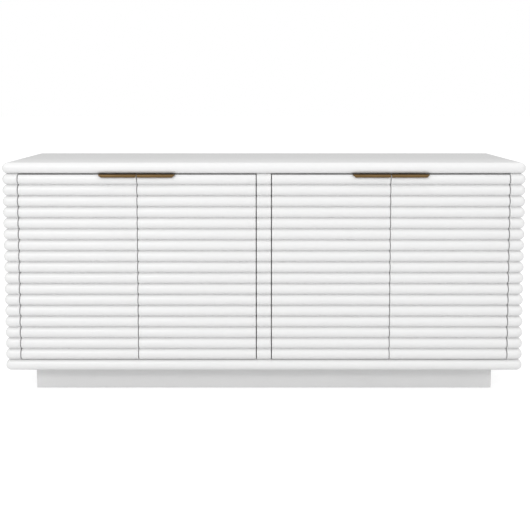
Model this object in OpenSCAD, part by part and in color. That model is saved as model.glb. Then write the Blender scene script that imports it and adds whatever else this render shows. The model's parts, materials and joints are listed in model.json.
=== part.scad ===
// Low media cabinet with horizontal reeding, four inset doors and a recessed plinth.
// Millimetres, +Z up. The origin is on the floor, midway across the width and the depth.
// The doors face -Y and are numbered 1 to 4 from left (-X) to right (+X).

/* [Cabinet] */
// Overall width
body_w = 1600; // [1300:10:2000]
// Depth from the crests of the front ribs to the rear edge
body_d = 400; // [340:5:520]
// Number of ribs up the front and the sides
rib_count = 17; // [13:1:21]
// Height of one rib with its groove
rib_pitch = 34; // [28:1:42]
// How far the crest of a rib stands out from its groove
rib_depth = 12; // [8:0.5:13]
// Flat strip at the bottom of each groove
groove_land = 1; // [0.5:0.1:2]
// Thickness of the top and bottom panels, whose edges are fully rounded
slab_t = 34; // [30:1:44]

/* [Boards] */
// Backing board behind the ribs of a door, stile or side panel
board_t = 18; // [16:1:25]
// Thickness of the inner wall at each end
gable_t = 18; // [16:1:25]
// Thickness of each of the two centre partitions
partition_t = 22; // [18:1:30]
// Thickness of a shelf
shelf_t = 18; // [16:1:25]
// Thickness of a back panel
back_t = 6; // [4:0.5:10]
// Distance from the rear edge of the cabinet to the back panel
back_setback = 6; // [4:0.5:12]
// Distance from the back of the doors to the front of a shelf
shelf_setback = 22; // [20:1:60]
// Gap behind a shelf for cables
shelf_rear_gap = 20; // [10:1:40]

/* [Plinth] */
// Height of the underside of the bottom panel above the floor
plinth_h = 82; // [60:1:120]
// Inset of the plinth from the front and from both ends
plinth_inset = 76; // [60:1:110]
// Inset of the plinth from the rear edge
plinth_rear_inset = 30; // [20:1:60]
// Thickness of the plinth boards
plinth_t = 18; // [16:1:25]
// Gap between the plinth boards and the floor
plinth_lift = 2; // [1:0.5:5]
// Width of the square blocks glued inside the plinth
block_w = 50; // [44:1:60]
// Radius of the foot of a levelling glide
glide_r = 15; // [12:0.5:18]
// Height of the foot of a levelling glide
glide_h = 8; // [6:0.5:12]
// Radius of the stem of a levelling glide
glide_stem_r = 4; // [3:0.5:5]
// Length of the stem of a levelling glide
glide_stem_l = 25; // [18:1:30]

/* [Doors] */
// Gap around each door
door_gap = 2.5; // [2:0.1:4]
// Gap between the two doors of a pair
meet_gap = 1.8; // [1.6:0.1:3]

/* [Pulls] */
// Length of each pull
pull_l = 115; // [80:1:160]
// Thickness of the folded brass
pull_t = 1.5; // [1:0.1:2]
// Height of the pull at the front of the door
pull_lip = 9; // [7:0.5:16]
// Gap for the fingers between the lip and the crests of the ribs
pull_stand = 5; // [4.5:0.5:8]
// Inside radius of the bend between the tab and the lip
pull_bend = 4; // [2:0.5:4.5]
// Height of the leg at the back of the door
pull_leg = 16; // [14:0.5:24]
// Bevel on the lower outer corner of the lip
pull_bevel = 8; // [4:0.5:8]
// Distance from the end of a pull to the meeting edge of its door
pull_inset = 0.5; // [0.5:0.1:3]

/* [Hinges] */
// Radius of the hinge cup
cup_r = 17.4; // [13:0.1:20]
// Depth of the hinge cup
cup_depth = 11.5; // [10:0.5:12]
// Wall thickness of the hinge cup
cup_wall = 1.2; // [0.8:0.1:1.6]
// Distance from the door's hinge edge to the centre of the cup
cup_edge = 22.5; // [21:0.5:26]
// Distance from the top or bottom edge of a door to the centre of its hinge
hinge_end = 95; // [70:1:130]
// Width of the cup's flange
flange_w = 22; // [18:1:26]
// Height of the cup's flange
flange_h = 60; // [56:1:66]
// Thickness of the cup's flange
flange_t = 1; // [0.8:0.1:1.5]
// Distance between the two screws of a cup
flange_pitch = 48; // [44:1:50]
// Distance from the front of a wall to the screws of its hinge plate
plate_line = 37; // [34:1:60]
// Length of a hinge plate along the wall
plate_l = 46; // [40:1:60]
// Height of a hinge plate
plate_h = 46; // [44:1:60]
// Thickness of a hinge plate
plate_t = 4; // [3:0.5:6]
// Distance between the two screws of a hinge plate
plate_pitch = 32; // [30:1:34]
// Width of a hinge arm
arm_w = 11; // [9:0.5:14]
// Height of a hinge arm
arm_h = 14; // [12:0.5:18]
// Length of a hinge arm behind the plate's screws
arm_tail = 24; // [18:1:40]
// Gap between the nose of a hinge arm and the door's cup
arm_gap = 1.5; // [1:0.1:3]

/* [Catches] */
// Width of a double magnetic catch
catch_w = 48; // [40:1:60]
// Depth of a catch
catch_d = 15; // [12:1:20]
// Height of a catch
catch_h = 15; // [12:1:20]
// Width of a magnet, and of the strike plate that it pulls
magnet_w = 16; // [12:1:18]
// Height of a magnet
magnet_h = 7; // [5:0.5:10]
// Depth of a magnet
magnet_d = 10; // [6:0.5:11]
// Thickness of a strike plate
strike_t = 1.2; // [1:0.1:2]
// Height of a strike plate
strike_h = 24; // [20:1:30]
// Gap between a closed door's strike plate and the catch
catch_gap = 0.6; // [0.5:0.1:1]

/* [Shelves] */
// Radius of a shelf pin
pin_r = 2.5; // [2.5:0.25:4]
// Depth of a shelf pin in the wall
pin_seat = 8; // [6:0.5:10]
// Length of a shelf pin under the shelf
pin_reach = 9; // [7:0.5:12]
// Number of heights that the shelf can be set to
pin_steps = 5; // [3:2:7]
// Distance between those heights
pin_pitch = 32; // [25:1:32]

/* [Cable ports] */
// Radius of the opening through a grommet
port_r = 27; // [20:0.5:32]
// Wall thickness of a grommet
grommet_wall = 2.8; // [2:0.1:4]
// Width of the rim of a grommet around its hole
grommet_rim = 5; // [3:0.5:8]
// Thickness of that rim
rim_t = 2; // [1.5:0.1:3]

/* [Fasteners] */
// Radius of a small screw
screw_r = 1.75; // [1.5:0.05:2]
// Length of a small screw
screw_l = 13; // [10:0.5:14]
// Radius of a small screw's head
screw_head_r = 3.5; // [3:0.1:4]
// Height of a small screw's head
screw_head_h = 1.8; // [1.5:0.1:2]
// Radius of a carcass screw
long_r = 2.5; // [2:0.1:3]
// Length of a carcass screw
long_l = 60; // [50:1:64]
// Radius of a carcass screw's head
long_head_r = 5; // [4:0.1:5]
// Height of a carcass screw's head
long_head_h = 3; // [2:0.1:4]
// Radius of a dowel
dowel_r = 4; // [3:0.5:5]
// Length of a dowel
dowel_l = 32; // [24:2:40]
// Length of each leg of a steel angle bracket
bracket_l = 25; // [20:1:30]
// Width of an angle bracket
bracket_w = 20; // [16:1:30]
// Thickness of an angle bracket
bracket_t = 2; // [1.5:0.1:3]

/* [Clearances] */
// Radial clearance of a screw, stem, dowel or pin in its hole
hole_clear = 0.1; // [0.05:0.01:0.2]
// Clearance at each end of a back panel
panel_clear = 0.5; // [0.2:0.1:1]
// Clearance at each end of a shelf
shelf_clear = 1; // [0.5:0.1:2]
// Radial clearance of a hinge cup or a grommet in its hole
cup_clear = 0.1; // [0.05:0.01:0.2]

/* [Hidden] */

LACQUER = "whitesmoke";
INSIDE = "gainsboro";
BRASS = "darkgoldenrod";
STEEL = "silver";
DARK = "dimgray";
TIMBER = "burlywood";

// How far a cutting shape runs past the face that it cuts
cut = 1;
// Depth of a drilled hole past the end of its screw or pin
hole_extra = 1;

// Heights
rib_zone_z = plinth_h + slab_t;
slab_top_z = rib_zone_z + rib_count * rib_pitch;
door_z0 = rib_zone_z + door_gap;
door_z1 = slab_top_z - door_gap;

// Depths, from the front: crests, grooves, back of the front boards, then the back panel
front_y = -body_d / 2;
groove_y = front_y + rib_depth;
inside_y = groove_y + board_t;
back_face_y = body_d / 2 - back_setback;
wall_rear_y = back_face_y - back_t;

// Widths, from the outside in: grooves, side panel, gable
edge_r = slab_t / 2;
groove_r = edge_r - rib_depth;
groove_x = body_w / 2 - rib_depth;
gable_x = groove_x - board_t;
bay_outer_x = gable_x - gable_t;
bay_inner_x = partition_t;
bay_w = bay_outer_x - bay_inner_x;
bay_mid_x = (bay_outer_x + bay_inner_x) / 2;
door_w = (bay_w - 2 * door_gap - meet_gap) / 2;

// A rib is an arc over a chord that leaves a land in the groove
rib_chord = rib_pitch - groove_land;
rib_r = (pow(rib_chord / 2, 2) + pow(rib_depth, 2)) / (2 * rib_depth);

// Interior
shelf_z = (rib_zone_z + slab_top_z) / 2;
shelf_y0 = inside_y + shelf_setback;
shelf_y1 = wall_rear_y - shelf_rear_gap;
pin_z = shelf_z - pin_r;
pin_ys = [shelf_y0 + 40, shelf_y1 - 40];
port_z = (shelf_z + shelf_t + slab_top_z) / 2;
grommet_r = port_r + grommet_wall;
hinge_zs = [door_z0 + hinge_end, door_z1 - hinge_end];
plate_screw_y = inside_y + plate_line;
bracket_ys = [inside_y + 60, wall_rear_y - 60];
dowel_ys = [inside_y + 30, 0, wall_rear_y - 30];
long_screw_ys = [inside_y + 80, wall_rear_y - 80];
back_screw_ends = 40;
back_screw_count = 5;

// Plinth
plinth_x = body_w / 2 - plinth_inset;
plinth_y0 = front_y + plinth_inset;
plinth_y1 = body_d / 2 - plinth_rear_inset;
block_xs = [plinth_t / 2 + block_w / 2, plinth_x - plinth_t - block_w / 2];
block_ys = [plinth_y0 + plinth_t + block_w / 2, plinth_y1 - plinth_t - block_w / 2];
block_screw_offset = 12;
block_screw_z = plinth_h - long_l + 20;

// Section of a ribbed board: x is outwards from the grooves, y is the height
module rib_section(behind, z0, z1) {
    translate([-behind, z0]) square([behind, z1 - z0]);
    intersection() {
        translate([0, z0]) square([rib_depth + cut, z1 - z0]);
        for (i = [0:rib_count - 1])
            translate([rib_depth - rib_r, rib_zone_z + (i + 0.5) * rib_pitch])
                circle(r = rib_r, $fn = 96);
    }
}

// Ribbed board facing the front, from x0 to x1
module front_ribs(x0, x1, z0, z1) {
    translate([x0, groove_y, 0])
        rotate([90, 0, 90])
            linear_extrude(x1 - x0) mirror([1, 0]) rib_section(board_t, z0, z1);
}

// Ribbed board facing the left, from y0 to y1
module side_ribs(y0, y1, behind) {
    translate([-groove_x, y1, 0])
        rotate([90, 0, 0])
            linear_extrude(y1 - y0) mirror([1, 0]) rib_section(behind, rib_zone_z, slab_top_z);
}

// Half disc that rounds the edge of a panel: x is outwards, y is the height
module nose_section() {
    intersection() {
        circle(r = edge_r, $fn = 96);
        translate([0, -edge_r]) square([edge_r, slab_t]);
    }
}

// Panel with its front and end edges rounded and its rear edge square
module slab(z0) {
    core_x = body_w / 2 - edge_r;
    core_y = front_y + edge_r;
    translate([-core_x, core_y, z0]) cube([2 * core_x, body_d / 2 - core_y, slab_t]);
    translate([-core_x, core_y, z0 + edge_r])
        rotate([90, 0, 90]) linear_extrude(2 * core_x) mirror([1, 0]) nose_section();
    for (side = [0, 1])
        mirror([side, 0, 0])
            translate([-core_x, 0, z0 + edge_r]) {
                translate([0, body_d / 2, 0])
                    rotate([90, 0, 0])
                        linear_extrude(body_d / 2 - core_y) mirror([1, 0]) nose_section();
                translate([0, core_y, 0])
                    rotate([0, 0, 180]) rotate_extrude(angle = 90, $fn = 96) nose_section();
            }
}

// Screw whose head stands on z = 0 and whose shank points down
module screw(r, l, head_r, head_h) {
    translate([0, 0, -l]) cylinder(r = r, h = l, $fn = 24);
    cylinder(r = head_r, h = head_h, $fn = 24);
}

module small_screw() {
    screw(screw_r, screw_l, screw_head_r, screw_head_h);
}

// Hole for a screw or pin of radius r that reaches l below z = 0
module hole(r, l) {
    translate([0, 0, -l - hole_extra])
        cylinder(r = r + hole_clear, h = l + hole_extra + cut, $fn = 24);
}

// Frame of door n: x = 0 is the wall beside its hinges and the door is on the +X side
module at_door(n) {
    wall_x = [-bay_outer_x, -bay_inner_x, bay_inner_x, bay_outer_x];
    translate([wall_x[n - 1], 0, 0]) mirror([(n + 1) % 2, 0, 0]) children();
}

// Turn +Z to the rear
module face_rear() {
    rotate([-90, 0, 0]) children();
}

// Turn +Z to +X
module face_right() {
    rotate([0, 90, 0]) children();
}

// Places in a door's frame

module at_cups() {
    for (z = hinge_zs)
        translate([door_gap + cup_edge, inside_y, z]) children();
}

module at_cup_screws() {
    at_cups()
        for (dz = [-flange_pitch / 2, flange_pitch / 2])
            translate([0, flange_t, dz]) face_rear() children();
}

module at_pull_screws() {
    for (share = [0.2, 0.8])
        translate([door_gap + door_w - pull_inset - share * pull_l, inside_y + pull_t,
            door_z1 + pull_t - pull_leg + screw_head_r + 1])
            face_rear() children();
}

module at_strike_screw() {
    translate([door_gap + door_w - strike_edge - magnet_w / 2, inside_y + strike_t,
        door_z0 + strike_h - screw_head_r - 0.5])
        face_rear() children();
}

module at_plate_screws() {
    for (z = hinge_zs)
        for (dz = [-plate_pitch / 2, plate_pitch / 2])
            translate([plate_t, plate_screw_y, z + dz]) face_right() children();
}

module at_pins() {
    for (y = pin_ys)
        translate([0, y, pin_z]) face_right() children();
}

module at_bracket_wall_screws() {
    for (y = bracket_ys)
        translate([bracket_t, y, slab_top_z - bracket_l * 0.6]) face_right() children();
}

module at_bracket_top_screws() {
    for (y = bracket_ys)
        translate([bracket_l * 0.6, y, slab_top_z - bracket_t]) mirror([0, 0, 1]) children();
}

module at_dowels(thickness) {
    for (y = dowel_ys)
        for (z = [rib_zone_z, slab_top_z])
            translate([-thickness / 2, y, z]) children();
}

module at_long_screws(thickness) {
    for (y = long_screw_ys)
        translate([-thickness / 2, y, plinth_h + long_head_h]) mirror([0, 0, 1]) children();
}

module at_back_screws(thickness) {
    step = (slab_top_z - rib_zone_z - 2 * back_screw_ends) / (back_screw_count - 1);
    for (i = [0:back_screw_count - 1])
        translate([-thickness / 2, back_face_y, rib_zone_z + back_screw_ends + i * step])
            face_rear() children();
}

module at_blocks() {
    for (side = [0, 1])
        mirror([side, 0, 0])
            for (x = block_xs)
                for (y = block_ys)
                    translate([x, y, 0]) children();
}

module at_block_screws() {
    at_blocks()
        translate([block_screw_offset, block_screw_offset, block_screw_z])
            mirror([0, 0, 1]) children();
}

// Wall thickness beside door n
function wall_t(n) = (n == 1 || n == 4) ? gable_t : partition_t;

// Distance from a door's meeting edge to its strike plate
strike_edge = (catch_w / 2 - magnet_w) / 2 - meet_gap / 2;

// Carcass

module top_panel() {
    color(LACQUER)
        difference() {
            slab(slab_top_z);
            for (n = [1:4])
                at_door(n) {
                    at_bracket_top_screws() hole(screw_r, screw_l);
                    at_dowels(wall_t(n)) dowel_hole();
                }
        }
}

module bottom_panel() {
    color(LACQUER)
        difference() {
            slab(plinth_h);
            for (n = [1:4])
                at_door(n) {
                    at_dowels(wall_t(n)) dowel_hole();
                    at_long_screws(wall_t(n)) long_screw_hole();
                }
            at_block_screws() hole(long_r, long_l);
        }
}

module side_panel(side) {
    color(LACQUER) mirror([side, 0, 0]) side_ribs(inside_y, body_d / 2, board_t);
}

module end_stile(side) {
    corner_x = groove_x - groove_r;
    corner_y = groove_y + groove_r;
    color(LACQUER)
        mirror([side, 0, 0]) {
            front_ribs(-corner_x, -bay_outer_x, rib_zone_z, slab_top_z);
            side_ribs(corner_y, inside_y, groove_r);
            translate([-corner_x, corner_y, 0])
                rotate([0, 0, 180])
                    rotate_extrude(angle = 90, $fn = 96)
                        translate([groove_r, 0]) rib_section(groove_r, rib_zone_z, slab_top_z);
        }
}

module centre_stile() {
    color(LACQUER) front_ribs(-bay_inner_x, bay_inner_x, rib_zone_z, slab_top_z);
}

// Wall that carries the hinges of door n
module wall(n) {
    color(INSIDE)
        at_door(n)
            difference() {
                translate([-wall_t(n), inside_y, rib_zone_z])
                    cube([wall_t(n), wall_rear_y - inside_y, slab_top_z - rib_zone_z]);
                at_plate_screws() hole(screw_r, screw_l);
                at_bracket_wall_screws() hole(screw_r, screw_l);
                at_back_screws(wall_t(n)) hole(screw_r, screw_l);
                at_dowels(wall_t(n)) dowel_hole();
                at_long_screws(wall_t(n)) long_screw_hole();
                for (i = [0:pin_steps - 1])
                    translate([0, 0, (i - (pin_steps - 1) / 2) * pin_pitch])
                        at_pins() hole(pin_r, pin_seat);
            }
}

module back_panel(side) {
    color(INSIDE)
        difference() {
            mirror([side, 0, 0])
                translate([-gable_x + panel_clear, wall_rear_y, rib_zone_z + panel_clear])
                    cube([gable_x - 2 * panel_clear, back_t,
                        slab_top_z - rib_zone_z - 2 * panel_clear]);
            for (n = [1 + 2 * side, 2 + 2 * side])
                at_door(n) at_back_screws(wall_t(n)) hole(screw_r, screw_l);
            mirror([side, 0, 0])
                translate([-bay_mid_x, back_face_y + cut, port_z])
                    face_rear()
                        translate([0, 0, -back_t - 2 * cut])
                            cylinder(r = grommet_r + cup_clear, h = back_t + 2 * cut, $fn = 64);
        }
}

module grommet(side) {
    color(DARK)
        mirror([side, 0, 0])
            translate([-bay_mid_x, wall_rear_y - rim_t, port_z])
                face_rear()
                    difference() {
                        union() {
                            cylinder(r = grommet_r, h = back_t + rim_t, $fn = 64);
                            translate([0, 0, back_t + rim_t])
                                cylinder(r = grommet_r + grommet_rim, h = rim_t, $fn = 64);
                        }
                        translate([0, 0, -cut])
                            cylinder(r = port_r, h = back_t + 2 * rim_t + 2 * cut, $fn = 64);
                    }
}

module shelf(side) {
    color(INSIDE)
        mirror([side, 0, 0])
            translate([-bay_outer_x + shelf_clear, shelf_y0, shelf_z])
                cube([bay_w - 2 * shelf_clear, shelf_y1 - shelf_y0, shelf_t]);
}

module shelf_pins() {
    color(STEEL)
        for (n = [1:4])
            at_door(n)
                at_pins()
                    translate([0, 0, -pin_seat])
                        cylinder(r = pin_r, h = pin_seat + pin_reach, $fn = 24);
}

// Joints of the carcass

module dowel() {
    translate([0, 0, -dowel_l / 2]) cylinder(r = dowel_r, h = dowel_l, $fn = 24);
}

module dowel_hole() {
    translate([0, 0, -dowel_l / 2 - hole_extra])
        cylinder(r = dowel_r + hole_clear, h = dowel_l + 2 * hole_extra, $fn = 24);
}

module dowels() {
    color(TIMBER)
        for (n = [1:4])
            at_door(n) at_dowels(wall_t(n)) dowel();
}

module long_screw() {
    screw(long_r, long_l, long_head_r, long_head_h);
}

module long_screw_hole() {
    hole(long_r, long_l);
    cylinder(r = long_head_r + hole_clear, h = long_head_h + cut, $fn = 24);
}

module carcass_screws() {
    color(STEEL)
        for (n = [1:4])
            at_door(n) at_long_screws(wall_t(n)) long_screw();
}

module back_screws() {
    color(STEEL)
        for (n = [1:4])
            at_door(n) at_back_screws(wall_t(n)) small_screw();
}

module top_brackets() {
    color(STEEL)
        for (n = [1:4])
            at_door(n)
                difference() {
                    for (y = bracket_ys)
                        translate([0, y - bracket_w / 2, slab_top_z - bracket_l]) {
                            cube([bracket_t, bracket_w, bracket_l]);
                            translate([0, 0, bracket_l - bracket_t])
                                cube([bracket_l, bracket_w, bracket_t]);
                        }
                    at_bracket_wall_screws() hole(screw_r, screw_l);
                    at_bracket_top_screws() hole(screw_r, screw_l);
                }
}

module bracket_screws() {
    color(STEEL)
        for (n = [1:4])
            at_door(n) {
                at_bracket_wall_screws() small_screw();
                at_bracket_top_screws() small_screw();
            }
}

// Plinth

module plinth_board(x0, x1, y0, y1) {
    color(LACQUER)
        translate([x0, y0, plinth_lift]) cube([x1 - x0, y1 - y0, plinth_h - plinth_lift]);
}

module plinth_front() {
    plinth_board(-plinth_x, plinth_x, plinth_y0, plinth_y0 + plinth_t);
}

module plinth_back() {
    plinth_board(-plinth_x, plinth_x, plinth_y1 - plinth_t, plinth_y1);
}

module plinth_end(side) {
    mirror([side, 0, 0])
        plinth_board(-plinth_x, -plinth_x + plinth_t, plinth_y0 + plinth_t, plinth_y1 - plinth_t);
}

module plinth_rail() {
    plinth_board(-plinth_t / 2, plinth_t / 2, plinth_y0 + plinth_t, plinth_y1 - plinth_t);
}

module plinth_blocks() {
    color(TIMBER)
        difference() {
            at_blocks()
                translate([-block_w / 2, -block_w / 2, glide_h])
                    cube([block_w, block_w, plinth_h - glide_h]);
            at_blocks()
                translate([0, 0, glide_h]) mirror([0, 0, 1]) hole(glide_stem_r, glide_stem_l);
            at_block_screws() {
                hole(long_r, long_l);
                cylinder(r = long_head_r + hole_clear, h = block_screw_z, $fn = 24);
            }
        }
}

module levelling_glides() {
    color(DARK)
        at_blocks() {
            cylinder(r = glide_r, h = glide_h, $fn = 48);
            translate([0, 0, glide_h]) cylinder(r = glide_stem_r, h = glide_stem_l, $fn = 24);
        }
}

module plinth_screws() {
    color(STEEL) at_block_screws() long_screw();
}

// Hinge parts on the carcass

module hinge_plates() {
    color(STEEL)
        for (n = [1:4])
            at_door(n)
                difference() {
                    for (z = hinge_zs)
                        translate([0, plate_screw_y - plate_l / 2, z - plate_h / 2])
                            cube([plate_t, plate_l, plate_h]);
                    at_plate_screws() hole(screw_r, screw_l);
                }
}

module hinge_plate_screws() {
    color(STEEL)
        for (n = [1:4])
            at_door(n) at_plate_screws() small_screw();
}

// Arm clipped on its plate, with a nose that reaches across to the cup
module hinge_arms() {
    nose_y = inside_y + flange_t + arm_gap;
    nose_l = plate_line / 3;
    nose_x = door_gap + cup_edge + arm_w / 2;
    color(STEEL)
        for (n = [1:4])
            at_door(n)
                for (z = hinge_zs)
                    translate([plate_t, nose_y, z - arm_h / 2]) {
                        cube([arm_w, plate_screw_y + arm_tail - nose_y, arm_h]);
                        cube([nose_x - plate_t, nose_l, arm_h]);
                    }
}

// Magnetic catches

module at_catch_magnets() {
    for (side = [0, 1])
        mirror([side, 0, 0])
            for (dx = [-catch_w / 4, catch_w / 4])
                translate([bay_mid_x + dx - magnet_w / 2, inside_y + strike_t + catch_gap,
                    rib_zone_z + (catch_h - magnet_h) / 2])
                    children();
}

module catch(side) {
    color(LACQUER)
        difference() {
            mirror([side, 0, 0])
                translate([-bay_mid_x - catch_w / 2, inside_y + strike_t + catch_gap, rib_zone_z])
                    cube([catch_w, catch_d, catch_h]);
            at_catch_magnets()
                translate([-hole_clear, -cut, -hole_clear])
                    cube([magnet_w + 2 * hole_clear, magnet_d + hole_clear + cut,
                        magnet_h + 2 * hole_clear]);
        }
}

module catch_magnets() {
    color(DARK) at_catch_magnets() cube([magnet_w, magnet_d, magnet_h]);
}

// Doors

module door(n) {
    color(LACQUER)
        at_door(n)
            difference() {
                front_ribs(door_gap, door_gap + door_w, door_z0, door_z1);
                at_cups()
                    face_rear()
                        translate([0, 0, -cup_depth - hole_clear])
                            cylinder(r = cup_r + cup_clear, h = cup_depth + hole_clear + cut,
                                $fn = 64);
                at_cup_screws() hole(screw_r, screw_l);
                at_pull_screws() hole(screw_r, screw_l);
                at_strike_screw() hole(screw_r, screw_l);
            }
}

// Section of a pull: x is the depth, y is the height. A leg runs down the back of the door, a tab
// runs over its top edge, and a lip hangs down in front of the ribs
module pull_section() {
    top_z = door_z1 + pull_t;
    lip_y = front_y - pull_stand;
    bend_y = lip_y + pull_bend;
    bend_z = door_z1 - pull_bend;
    translate([inside_y, top_z - pull_leg]) square([pull_t, pull_leg]);
    translate([bend_y, door_z1]) square([inside_y + pull_t - bend_y, pull_t]);
    translate([lip_y - pull_t, top_z - pull_lip])
        square([pull_t, bend_z - top_z + pull_lip]);
    translate([bend_y, bend_z])
        intersection() {
            difference() {
                circle(r = pull_bend + pull_t, $fn = 48);
                circle(r = pull_bend, $fn = 48);
            }
            translate([-pull_bend - pull_t, 0])
                square([pull_bend + pull_t, pull_bend + pull_t]);
        }
}

module pull(n) {
    x0 = door_gap + door_w - pull_inset - pull_l;
    low_z = door_z1 + pull_t - pull_lip;
    color(BRASS)
        at_door(n)
            difference() {
                translate([x0, 0, 0])
                    rotate([90, 0, 90]) linear_extrude(pull_l) pull_section();
                translate([x0, front_y - pull_stand + cut, low_z])
                    rotate([90, 0, 0])
                        linear_extrude(pull_t + 2 * cut)
                            polygon([[-cut, -cut], [pull_bevel, -cut], [pull_bevel, 0],
                                [0, pull_bevel], [-cut, pull_bevel]]);
                at_pull_screws() hole(screw_r, screw_l);
            }
}

module hinge_cups(n) {
    color(STEEL)
        at_door(n)
            difference() {
                at_cups() {
                    face_rear()
                        translate([0, 0, -cup_depth])
                            cylinder(r = cup_r, h = cup_depth + flange_t, $fn = 64);
                    translate([-flange_w / 2, 0, -flange_h / 2])
                        cube([flange_w, flange_t, flange_h]);
                }
                at_cups()
                    face_rear()
                        translate([0, 0, -cup_depth + cup_wall])
                            cylinder(r = cup_r - cup_wall, h = cup_depth + flange_t + cut,
                                $fn = 64);
                at_cup_screws() hole(screw_r, screw_l);
            }
}

module strike_plate(n) {
    color(STEEL)
        at_door(n)
            difference() {
                translate([door_gap + door_w - strike_edge - magnet_w, inside_y, door_z0])
                    cube([magnet_w, strike_t, strike_h]);
                at_strike_screw() hole(screw_r, screw_l);
            }
}

module door_screws(n) {
    color(STEEL)
        at_door(n) {
            at_cup_screws() small_screw();
            at_pull_screws() small_screw();
            at_strike_screw() small_screw();
        }
}

top_panel();
bottom_panel();
side_panel(0);  // side_panel_left
side_panel(1);  // side_panel_right
end_stile(0);  // end_stile_left
end_stile(1);  // end_stile_right
centre_stile();
wall(1);  // gable_left
wall(2);  // partition_left
wall(3);  // partition_right
wall(4);  // gable_right
back_panel(0);  // back_panel_left
back_panel(1);  // back_panel_right
grommet(0);  // grommet_left
grommet(1);  // grommet_right
shelf(0);  // shelf_left
shelf(1);  // shelf_right
shelf_pins();
plinth_front();
plinth_back();
plinth_end(0);  // plinth_left
plinth_end(1);  // plinth_right
plinth_rail();
plinth_blocks();
levelling_glides();
plinth_screws();
hinge_plates();
hinge_arms();
hinge_plate_screws();
catch(0);  // catch_left
catch(1);  // catch_right
catch_magnets();
back_screws();
dowels();
carcass_screws();
top_brackets();
bracket_screws();
door(1);  // door_1
door(2);  // door_2
door(3);  // door_3
door(4);  // door_4
pull(1);  // pull_1
pull(2);  // pull_2
pull(3);  // pull_3
pull(4);  // pull_4
hinge_cups(1);  // hinge_cups_1
hinge_cups(2);  // hinge_cups_2
hinge_cups(3);  // hinge_cups_3
hinge_cups(4);  // hinge_cups_4
strike_plate(1);  // strike_plate_1
strike_plate(2);  // strike_plate_2
strike_plate(3);  // strike_plate_3
strike_plate(4);  // strike_plate_4
door_screws(1);  // door_screws_1
door_screws(2);  // door_screws_2
door_screws(3);  // door_screws_3
door_screws(4);  // door_screws_4
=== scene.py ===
import json
import math

import bmesh
import bpy
from bpy.props import FloatProperty, FloatVectorProperty, IntProperty, PointerProperty
from mathutils import Euler, Matrix, Vector


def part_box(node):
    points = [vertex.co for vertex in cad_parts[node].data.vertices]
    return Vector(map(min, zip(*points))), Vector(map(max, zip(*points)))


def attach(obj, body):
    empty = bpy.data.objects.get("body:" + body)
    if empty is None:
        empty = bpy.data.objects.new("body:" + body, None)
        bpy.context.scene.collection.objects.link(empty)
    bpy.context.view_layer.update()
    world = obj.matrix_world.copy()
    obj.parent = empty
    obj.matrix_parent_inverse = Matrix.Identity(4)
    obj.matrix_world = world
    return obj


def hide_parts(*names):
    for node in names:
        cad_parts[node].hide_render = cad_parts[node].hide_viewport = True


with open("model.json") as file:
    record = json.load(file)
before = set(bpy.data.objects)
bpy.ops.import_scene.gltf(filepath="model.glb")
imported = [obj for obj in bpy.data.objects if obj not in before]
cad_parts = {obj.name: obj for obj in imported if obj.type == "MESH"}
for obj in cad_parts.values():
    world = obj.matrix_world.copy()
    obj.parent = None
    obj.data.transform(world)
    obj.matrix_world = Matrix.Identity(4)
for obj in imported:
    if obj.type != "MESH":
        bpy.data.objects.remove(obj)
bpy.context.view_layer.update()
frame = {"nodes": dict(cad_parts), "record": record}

bl_info = {
    "name": "Reeded media cabinet",
    "version": (1, 0, 0),
    "blender": (4, 5, 0),
    "location": "View3D > Sidebar > Cabinet",
    "description": "Finished pieces and finishes of a low cabinet with reeded doors",
    "category": "Object",
}

NODES = frame["nodes"]
DOORS = (1, 2, 3, 4)
SIDES = {"left": -1, "right": 1}
CARCASS = "carcass"


# ---------------------------------------------------------------------------
# Sizes and colours
# ---------------------------------------------------------------------------

def length(name, description, default):
    """A size in metres, shown with Blender's length unit."""
    return FloatProperty(name=name, description=description, default=default, min=0.0,
                         precision=4, subtype="DISTANCE", unit="LENGTH")


def colour(name, description, default):
    """A linear colour with a swatch."""
    return FloatVectorProperty(name=name, description=description, default=default,
                               size=4, min=0.0, max=1.0, subtype="COLOR")


class CabinetSizes(bpy.types.PropertyGroup):
    """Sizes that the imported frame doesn't state by itself."""

    rib_count: IntProperty(name="Ribs", description="Ribs up the front", default=17, min=1)
    rib_depth: length("Rib depth", "How far a crest stands out from its groove", 0.012)
    groove_land: length("Groove land", "Flat strip at the bottom of a groove", 0.001)
    end_ease: length("Rib end rounding", "Rounding of the ribs beside a gap", 0.0028)
    edge_ease: length("Edge rounding", "Softened arris of the lacquered boards", 0.0012)
    brass_thickness: length("Brass thickness", "Sheet that the pulls are folded from", 0.0015)
    pull_lip: length("Pull lip", "Height of a pull in front of its door", 0.009)
    pull_bend: length("Pull bend", "Inside radius of the bend of a pull", 0.004)
    pull_bevel: length("Pull bevel", "Bevel on the outer corner of a pull", 0.008)


class CabinetColours(bpy.types.PropertyGroup):
    """Base colours of the finishes."""

    lacquer: colour("Lacquer", "White lacquer outside", (0.67, 0.67, 0.67, 1.0))
    board: colour("Board", "White faced board inside", (0.74, 0.74, 0.73, 1.0))
    hardboard: colour("Back board", "Painted hardboard back", (0.70, 0.70, 0.69, 1.0))
    timber: colour("Timber", "Raw softwood", (0.52, 0.34, 0.18, 1.0))
    brass: colour("Brass", "Antique brass", (0.165, 0.104, 0.045, 1.0))
    nickel: colour("Nickel", "Plated steel", (0.62, 0.61, 0.59, 1.0))
    magnet: colour("Magnet", "Ferrite", (0.05, 0.05, 0.052, 1.0))
    white_plastic: colour("White plastic", "Moulded white plastic", (0.76, 0.76, 0.75, 1.0))
    dark_plastic: colour("Dark plastic", "Moulded nylon", (0.018, 0.018, 0.02, 1.0))


# ---------------------------------------------------------------------------
# Node trees
# ---------------------------------------------------------------------------

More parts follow.
